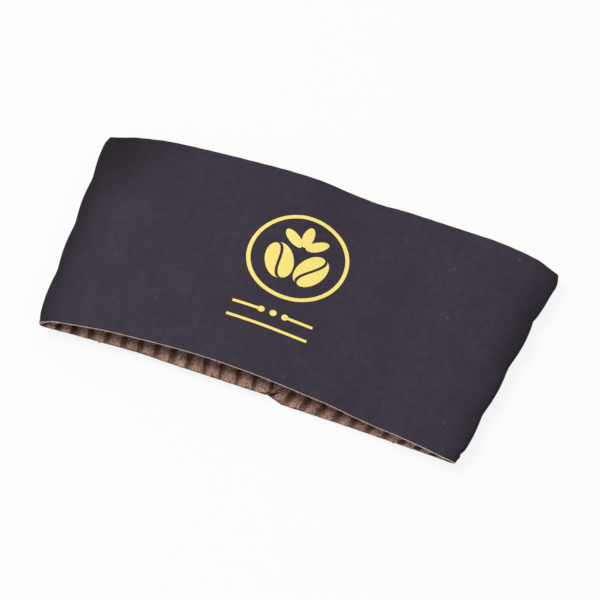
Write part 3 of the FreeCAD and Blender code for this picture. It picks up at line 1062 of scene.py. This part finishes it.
def kraft_paper(name, fibres, specks, shade_and_wear, groove_shades, browns):
    """Raw brown paper with visible fibres; given groove shades, painted shade in the grooves, deeper
    beside the folds.
    """
    material, tree, shader, place = start_material(name)
    grain = use_group(tree, fibres, place).outputs
    bits = use_specks(tree, specks, place, BIT_CELLS)
    dark, light, palest = browns
    brown = mix_colour(tree, ramp(tree, grain["Blotches"], *BROWN_RANGE), dark, light)
    pale_fibres = ramp(tree, grain["Streaks"], *FIBRE_RANGE)
    brown = tinted(tree, brown, pale_fibres, FIBRE_STRENGTH, palest)
    brown = tinted(tree, brown, bits, *BIT_TINT)
    if groove_shades:
        groove = use_group(tree, groove_shades, place).outputs["GrooveShade"]
        # painted shade in the grooves between the flutes
        brown = tinted(tree, brown, groove, *GROOVE_SHADE_TINT)
        # deeper painted shade in the grooves squeezed beside the folds
        squeezed_shade = use_group(tree, shade_and_wear, place).outputs["SqueezedGrooveShade"]
        brown = tinted(tree, brown, math_node(tree, "MULTIPLY", groove, squeezed_shade), *SQUEEZED_GROOVE_SHADE)
    tree.links.new(brown, shader.inputs["Base Color"])
    shader.inputs["Roughness"].default_value = RAW_ROUGHNESS
    shader.inputs["Specular IOR Level"].default_value = RAW_SHINE
    bump(tree, shader, grain["Height"], RAW_BUMP)
    return material


def gold_ink(fibres):
    """Flat gold ink, slightly uneven over the paper's grain."""
    material, tree, shader, place = start_material("gold_ink")
    grain = use_group(tree, fibres, place).outputs
    gold = mix_colour(tree, ramp(tree, grain["Clouds"], *CLOUDING), *GOLD)
    gold = tinted(tree, gold, ramp(tree, grain["Streaks"], *GOLD_RANGE), *GOLD_TINT)
    tree.links.new(gold, shader.inputs["Base Color"])
    shader.inputs["Roughness"].default_value = GOLD_ROUGHNESS
    shader.inputs["Specular IOR Level"].default_value = GOLD_SHINE
    bump(tree, shader, grain["Height"], GOLD_BUMP)
    return material


# Studio

def camera_sees(tree):
    return tree.nodes.new("ShaderNodeLightPath").outputs["Is Camera Ray"]


def blend_shaders(tree, factor, first, second, end):
    """First shader where the factor is 0, second where it is 1, into the tree's last node."""
    blend = tree.nodes.new("ShaderNodeMixShader")
    for socket, value in zip(blend.inputs, (factor, first.outputs[0], second.outputs[0])):
        tree.links.new(value, socket)
    tree.links.new(blend.outputs[0], tree.nodes[end].inputs["Surface"])


def make_floor():
    """Pale floor that takes the sleeve's shadow and looks nearly white to the camera."""
    mesh = bpy.data.meshes.new("floor")
    corners = ((-1, -1), (1, -1), (1, 1), (-1, 1))
    mesh.from_pydata([(x * FLOOR_REACH, y * FLOOR_REACH, 0) for x, y in corners], [], [(0, 1, 2, 3)])
    floor = bpy.data.objects.new("floor", mesh)
    bpy.context.scene.collection.objects.link(floor)
    material = bpy.data.materials.new("floor_white")
    material.use_nodes = True
    tree = material.node_tree
    shader = tree.nodes["Principled BSDF"]
    shader.inputs["Base Color"].default_value = FLOOR_COLOUR
    shader.inputs["Roughness"].default_value = FLOOR_ROUGHNESS
    shader.inputs["Specular IOR Level"].default_value = 0.0
    glow = tree.nodes.new("ShaderNodeEmission")
    glow.inputs["Color"].default_value = (1, 1, 1, 1)
    seen = math_node(tree, "MULTIPLY", camera_sees(tree), FLOOR_GLOW)
    blend_shaders(tree, seen, shader, glow, "Material Output")
    mesh.materials.append(material)


def make_light():
    """Soft light from all round, a pale surround for the camera, and the lamps."""
    world = bpy.data.worlds.new("studio")
    bpy.context.scene.world = world
    world.use_nodes = True
    tree = world.node_tree
    soft = tree.nodes["Background"]
    soft.inputs["Color"].default_value = AMBIENT_COLOUR
    soft.inputs["Strength"].default_value = AMBIENT
    surround = tree.nodes.new("ShaderNodeBackground")
    surround.inputs["Strength"].default_value = 1.0
    blend_shaders(tree, camera_sees(tree), soft, surround, "World Output")
    for name, place, size, power in LAMPS:
        light = bpy.data.lights.new(name, "AREA")
        light.size = size
        light.energy = power
        lamp = bpy.data.objects.new(name, light)
        bpy.context.scene.collection.objects.link(lamp)
        lamp.location = place
        lamp.rotation_euler = Vector(place).to_track_quat("Z", "Y").to_euler()


def make_camera():
    turn = math.radians(CAMERA_TURN)
    rise = math.radians(CAMERA_RISE)
    back = Vector((math.sin(turn) * math.cos(rise), -math.cos(turn) * math.cos(rise), math.sin(rise)))
    right = Vector((math.cos(turn), math.sin(turn), 0))
    up = back.cross(right)
    target = right * AIM[0] + up * AIM[1]
    data = bpy.data.cameras.new("camera")
    data.lens = CAMERA_LENS
    data.sensor_width = CAMERA_SENSOR
    data.clip_start = CAMERA_CLIP
    camera = bpy.data.objects.new("camera", data)
    bpy.context.scene.collection.objects.link(camera)
    camera.location = back * CAMERA_DISTANCE
    camera.rotation_euler = (camera.location - target).to_track_quat("Z", "Y").to_euler()
    bpy.context.scene.camera = camera


make_camera()
make_floor()
make_light()
fibres = fibre_group()
specks = speck_group()
shade_and_wear = shade_and_wear_group()
black = black_paper(fibres, specks, shade_and_wear)
groove_shades = groove_shade_group()
liner_back = kraft_paper("liner_back_paper", fibres, specks, shade_and_wear, groove_shades, LINER_BACK_BROWN)
pale_cut = kraft_paper("cut_edge_paper", fibres, specks, shade_and_wear, None, PALE_CUT_BROWN)
kraft = kraft_paper("kraft_flute_paper", fibres, specks, shade_and_wear, groove_shades, FLUTE_BROWN)
brown_cut = kraft_paper("kraft_cut_paper", fibres, specks, shade_and_wear, groove_shades, BROWN_CUT_BROWN)
gold = gold_ink(fibres)

liner_piece = make_liner([black, liner_back, pale_cut, brown_cut])
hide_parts("outer_liner")
medium_piece = make_medium([kraft, brown_cut])
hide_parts("fluted_medium")
print_piece = make_print([gold])
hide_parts("gold_print")

bpy.context.scene.view_settings.view_transform = "Standard"
